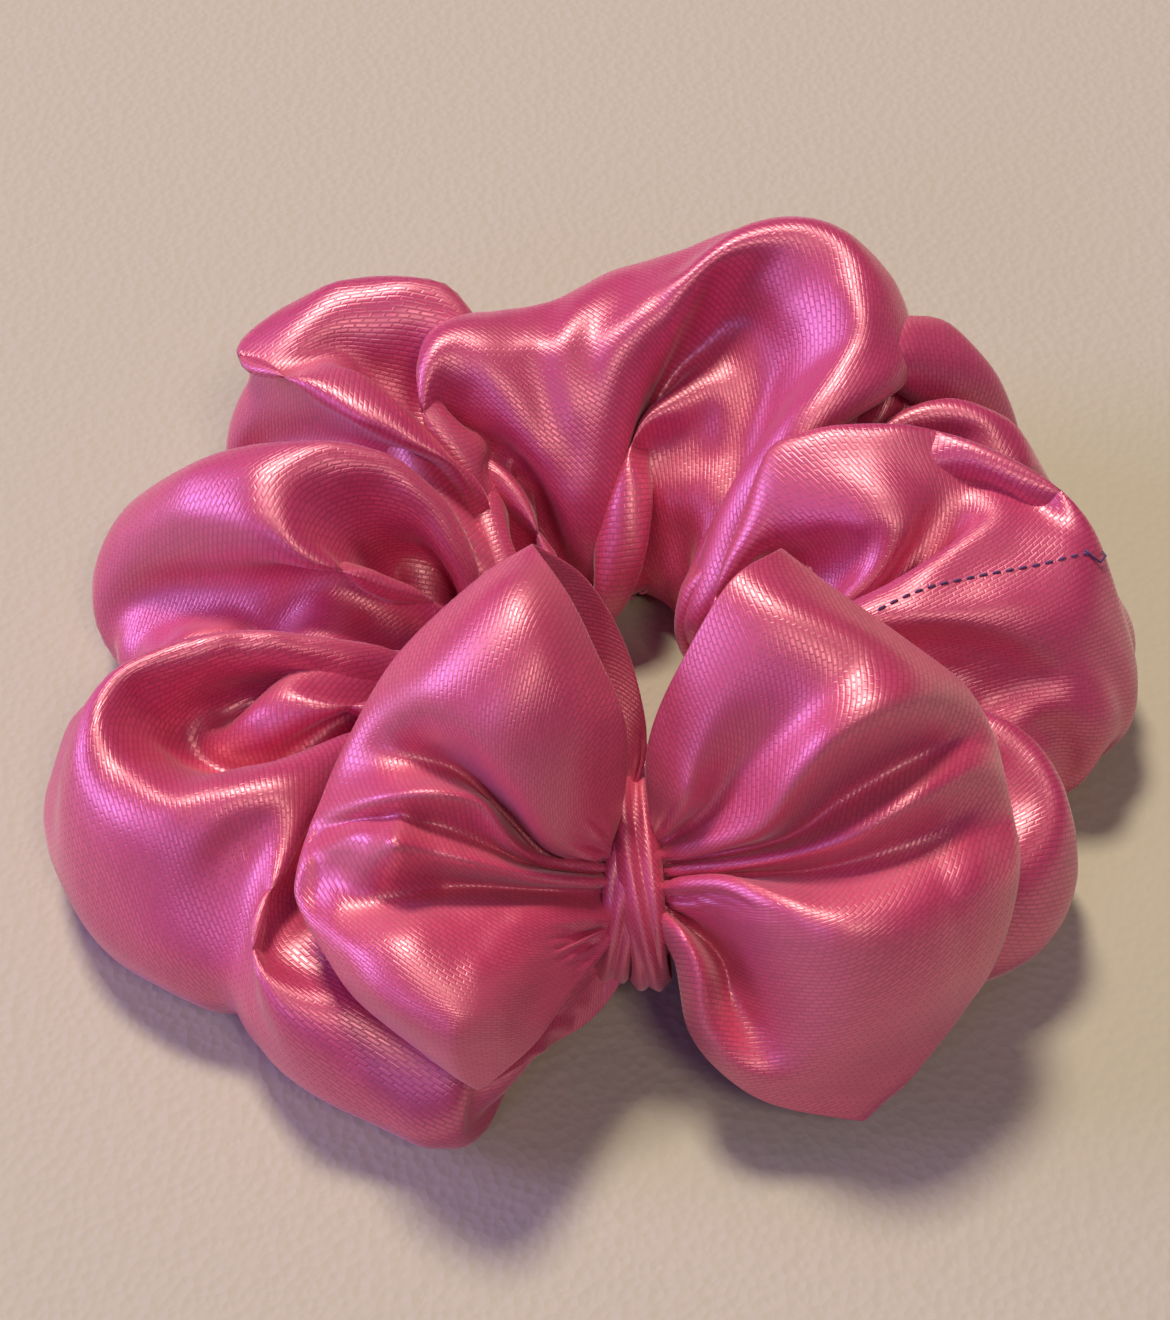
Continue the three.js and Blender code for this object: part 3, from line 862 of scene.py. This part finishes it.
def build_waist():
    """The ribbon's gathered middle, a pleated bundle across the bow."""
    steps, sides = WAIST_GRID
    grid = np.zeros((steps, sides, 3))
    for i in range(steps):
        along = i / (steps - 1) * 2 - 1
        for j in range(sides):
            turn = 2 * math.pi * j / sides
            pleat = 1 + PLEAT_DEPTH * math.cos(PLEATS * turn + along) + 0.05 * along**2
            grid[i, j] = (
                along * WAIST["half_length"],
                WAIST["half_tall"] * pleat * math.cos(turn),
                WAIST["half_thick"] * pleat * math.sin(turn) + WAIST["centre"],
            )
    return from_bow(grid)


# ---- the cloth pieces ----
CLOTH_THICK, STRIP_THICK = 0.3, 0.35  # mm

cover = grid_mesh("sleeve", sleeve, sleeve_pitch, SLEEVE_SATIN)
thicken(cover, CLOTH_THICK)
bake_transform(cover)
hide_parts("cover_front", "cover_back")

for name, grid in wings.items():
    wing = grid_mesh(f"ribbon_wing_{name}", grid, wing_pitch, BOW_SATIN, closed=(False, False))
    thicken(wing, CLOTH_THICK)
    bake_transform(wing)
    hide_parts(f"bow_wing_{name}")

wrap = grid_mesh("knot_strip", strip, STRIP_PITCH, BOW_SATIN, closed=(False, False))
thicken(wrap, STRIP_THICK)
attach(wrap, "bow")
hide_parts("centre_wrap")

waist = grid_mesh("ribbon_waist", build_waist(), WAIST_PITCH, BOW_SATIN, closed=(False, True))
thicken(waist, CLOTH_THICK)
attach(waist, "bow")
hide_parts("bow_waist")

# ---- the elastic ----
BAND_HALF_WIDTH = 3.0
BAND_FLATNESS = 0.18  # its thickness as a share of its width
band_angles = np.linspace(0, 360, 180, endpoint=False)
band_path = [polar(angle, ELASTIC_RADIUS, ELASTIC_HEIGHT) for angle in band_angles]
band = tube("braided_elastic", band_path, BAND_HALF_WIDTH, ELASTIC_BRAID, 12, True, BAND_FLATNESS)
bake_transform(band)
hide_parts("elastic_band")

# ---- the threads ----
THREAD_SIDES = 6
FINE_THREAD, SEWING_THREAD, CLOSING_THREAD, COIL_THREAD = 0.13, 0.14, 0.15, 0.16  # radii in mm
BURIED = 0.15  # mm that a stitch's ends go into the cloth


def stitches(name, runs, radius, material):
    """One mesh of many short stitches. A run is the points of one stitch."""
    parts = [tube(f"{name}_part", spline(run, 5), radius, material, THREAD_SIDES) for run in runs]
    vertices = []
    faces = []
    for part in parts:
        faces += [[v + len(vertices) for v in polygon.vertices] for polygon in part.data.polygons]
        vertices += [tuple(v.co) for v in part.data.vertices]
        bpy.data.objects.remove(part)
    return link_mesh(name, vertices, faces, material)


def stitch(start, end, outward, lift=0.22):
    """A stitch that comes up out of the cloth at start and goes back in at end."""
    return [
        start - outward * BURIED,
        start * 0.8 + end * 0.2 + outward * lift * 0.8,
        (start + end) / 2 + outward * lift,
        start * 0.2 + end * 0.8 + outward * lift * 0.8,
        end - outward * BURIED,
    ]


def sleeve_normals():
    """Which way is out of the sleeve, at each point of its grid."""
    along = np.roll(sleeve, -1, 0) - np.roll(sleeve, 1, 0)
    across = np.roll(sleeve, -1, 1) - np.roll(sleeve, 1, 1)
    normal = np.cross(across, along)
    normal /= np.linalg.norm(normal, axis=2, keepdims=True) + TINY
    outward = sleeve - sleeve.mean(1, keepdims=True)
    return normal * np.sign((normal * outward).sum((1, 2)).mean())


# The long seam runs along the sleeve beside the hole, at this share of the way round the tube.
SEAM_PLACE = 0.8
SEAM_STITCH = 0.6  # the share of the grid's step that a stitch takes
seam_row = int(sleeve.shape[1] * SEAM_PLACE)
seam_line = sleeve[:, seam_row]
seam_runs = {"front": [], "back": []}
for start, after, out in zip(seam_line, seam_line[1:], sleeve_normals()[:, seam_row]):
    end = start * (1 - SEAM_STITCH) + after * SEAM_STITCH
    half = "front" if start[1] < 0 else "back"
    seam_runs[half].append(stitch(start + out * BURIED, end + out * BURIED, out))
for half, runs in seam_runs.items():
    seam = stitches(f"seam_stitches_{half}", runs, FINE_THREAD, PINK_THREAD)
    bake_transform(seam)
    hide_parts(f"seam_thread_{half}")

# The closing seam crosses a puff on the right, in purple thread with a loose end.
# Its line and its loose end are written as spots of the table below, in ring millimetres.
CLOSING_LINE = [(31, -3.5), (36, -1), (42, 1), (48, 2.6), (53, 4.2), (56, 6)]
LOOSE_END = [(55.2, 4.2), (53.6, 4.9)]
CLOSING_PITCH = 1.5
CLOSING_STITCH = CLOSING_PITCH * 0.6
CLOSING_LIFT = 0.15
HIGH_UP = 60.0  # above everything
cover_tree = BVHTree.FromObject(cover, bpy.context.evaluated_depsgraph_get())


def on_cover(spot):
    """The point on top of the sleeve over a spot of the table, and its normal, in ring millimetres."""
    high = Vector(place((*spot, HIGH_UP)))
    hit, normal, _, _ = cover_tree.ray_cast(high, Vector((0, 0, -1)))
    return np.array(hit) / MM - RING, np.array(normal)


line = spline(CLOSING_LINE, 200)
walked = np.r_[0, np.cumsum(np.linalg.norm(np.diff(line, axis=0), axis=1))]


def closing_spot(far):
    """The spot at a distance along the closing line."""
    return [np.interp(far, walked, line[:, i]) for i in (0, 1)]


closing_runs = []
for far in np.arange(0, walked[-1] - CLOSING_PITCH, CLOSING_PITCH):
    start, out = on_cover(closing_spot(far))
    end, _ = on_cover(closing_spot(far + CLOSING_STITCH))
    closing_runs.append(stitch(start, end, out, CLOSING_LIFT))
tail_start, tail_out = on_cover(CLOSING_LINE[-1])
tail_middle, tail_end = (on_cover(spot)[0] for spot in LOOSE_END)
closing_runs.append([
    tail_start,
    tail_start * 0.5 + tail_middle * 0.5 + tail_out * 0.7,
    tail_middle + tail_out * 0.4,
    tail_end + tail_out * 0.3,
])  # fmt: skip
closing = stitches("closing_stitches", closing_runs, CLOSING_THREAD, PURPLE_THREAD)
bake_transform(closing)
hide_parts("closing_thread")

# The elastic's ends overlap and are zigzagged together.
JOIN = dict(angle=97, stitches=9, slant=0.5, half_tall=1.8, outside=0.62)
join_runs = []
for k in range(JOIN["stitches"]):
    angle = JOIN["angle"] + k
    radius = ELASTIC_RADIUS + JOIN["outside"]
    low = polar(angle, radius, ELASTIC_HEIGHT - JOIN["half_tall"])
    high = polar(angle + JOIN["slant"], radius, ELASTIC_HEIGHT + JOIN["half_tall"])
    join_runs.append([low, (low + high) / 2 + polar(angle, 0.1, 0), high])
join = stitches("elastic_zigzag", join_runs, SEWING_THREAD, PURPLE_THREAD)
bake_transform(join)
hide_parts("elastic_join_stitches")

# The strip's end is stitched down, with a few stitches across it in its last rows.
SEWN_ROWS = range(STRIP_STEPS - 22, STRIP_STEPS - 6, 4)
SEWN_LEFT, SEWN_MIDDLE, SEWN_RIGHT = 4, 7, 9  # points across the strip
SEWN_SLANT = 3  # rows
strip_middle = strip.mean(axis=(0, 1))
wrap_runs = []
for i in SEWN_ROWS:
    out = strip[i, SEWN_MIDDLE] - strip_middle
    out /= np.linalg.norm(out)
    start = strip[i, SEWN_LEFT] + out * CLOTH_THICK
    end = strip[i + SEWN_SLANT, SEWN_RIGHT] + out * CLOTH_THICK
    wrap_runs.append(stitch(start, end, out))
sewn = stitches("strip_stitches", wrap_runs, SEWING_THREAD, PINK_THREAD)
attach(sewn, "bow")
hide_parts("wrap_stitches")

# A thread wound three times round gathers the ribbon's middle.
COIL = dict(turns=3, length=1.5, half_tall=5.9, half_thick=2.35)
coil_turns = np.linspace(0, 2 * math.pi * COIL["turns"], 120)
coil = np.stack([
    COIL["length"] * (coil_turns / coil_turns[-1] - 0.5),
    COIL["half_tall"] * np.cos(coil_turns),
    COIL["half_thick"] * np.sin(coil_turns) + WAIST["centre"],
], 1)  # fmt: skip
gathering = tube("gathering_thread", from_bow(coil), COIL_THREAD, PINK_THREAD, THREAD_SIDES)
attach(gathering, "bow")
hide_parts("gather_thread")

# ---- the studio ----
TARGET = place((0, 0, 14))
ELEVATION = math.radians(50)
DISTANCE = 0.3
camera_data = bpy.data.cameras.new("camera")
camera_data.sensor_width = 36
camera_data.lens = 74.4
camera = bpy.data.objects.new("camera", camera_data)
bpy.context.scene.collection.objects.link(camera)
away = Vector((0, -math.cos(ELEVATION), math.sin(ELEVATION)))
camera.location = Vector(TARGET) + away * DISTANCE
camera.rotation_euler = away.to_track_quat("Z", "Y").to_euler()
bpy.context.scene.camera = camera

floor_material, floor_shader = new_material("floor_cloth", (0.48, 0.47, 0.37), 0.85)
n = Nodes(floor_material)
where = n.add("ShaderNodeTexCoord")
weave = n.add("ShaderNodeTexVoronoi", Scale=0.9 / MM)
n.join(where.outputs["Object"], weave.inputs["Vector"])
weave_bump = n.add("ShaderNodeBump", Strength=0.4, Distance=0.3 * MM)
n.join(weave.outputs["Distance"], weave_bump.inputs["Height"])
n.join(weave_bump.outputs["Normal"], floor_shader.inputs["Normal"])
FLOOR = 3  # metres from its middle to its edges
floor_corners = [(-FLOOR, -FLOOR, 0), (FLOOR, -FLOOR, 0), (FLOOR, FLOOR, 0), (-FLOOR, FLOOR, 0)]
floor = link_mesh("floor", floor_corners, [(0, 1, 2, 3)], floor_material)


def area_light(name, position, size, watts, colour):
    """A square light that faces the origin."""
    light = bpy.data.lights.new(name, "AREA")
    light.size = size
    light.energy = watts
    light.color = colour
    obj = bpy.data.objects.new(name, light)
    bpy.context.scene.collection.objects.link(obj)
    obj.location = position
    obj.rotation_euler = Vector(position).to_track_quat("Z", "Y").to_euler()


area_light("warm_lamp", (-0.5, 1.0, 2.7), 0.6, 74.0, (1.0, 0.84, 0.66))
area_light("violet_window", (-2.3, 0.1, 0.95), 1.2, 42.0, (0.55, 0.42, 1.0))
area_light("violet_screen", (-1.1, -1.8, 1.1), 0.6, 7.0, (0.50, 0.42, 1.0))
area_light("front_lamp", (0.7, -1.6, 2.3), 0.6, 19.0, (1.0, 0.80, 0.62))
world = bpy.data.worlds.new("studio")
bpy.context.scene.world = world
world.use_nodes = True
background = world.node_tree.nodes["Background"]
background.inputs["Color"].default_value = (0.40, 0.24, 0.62, 1)
background.inputs["Strength"].default_value = 0.17
bpy.context.scene.view_settings.view_transform = "Standard"
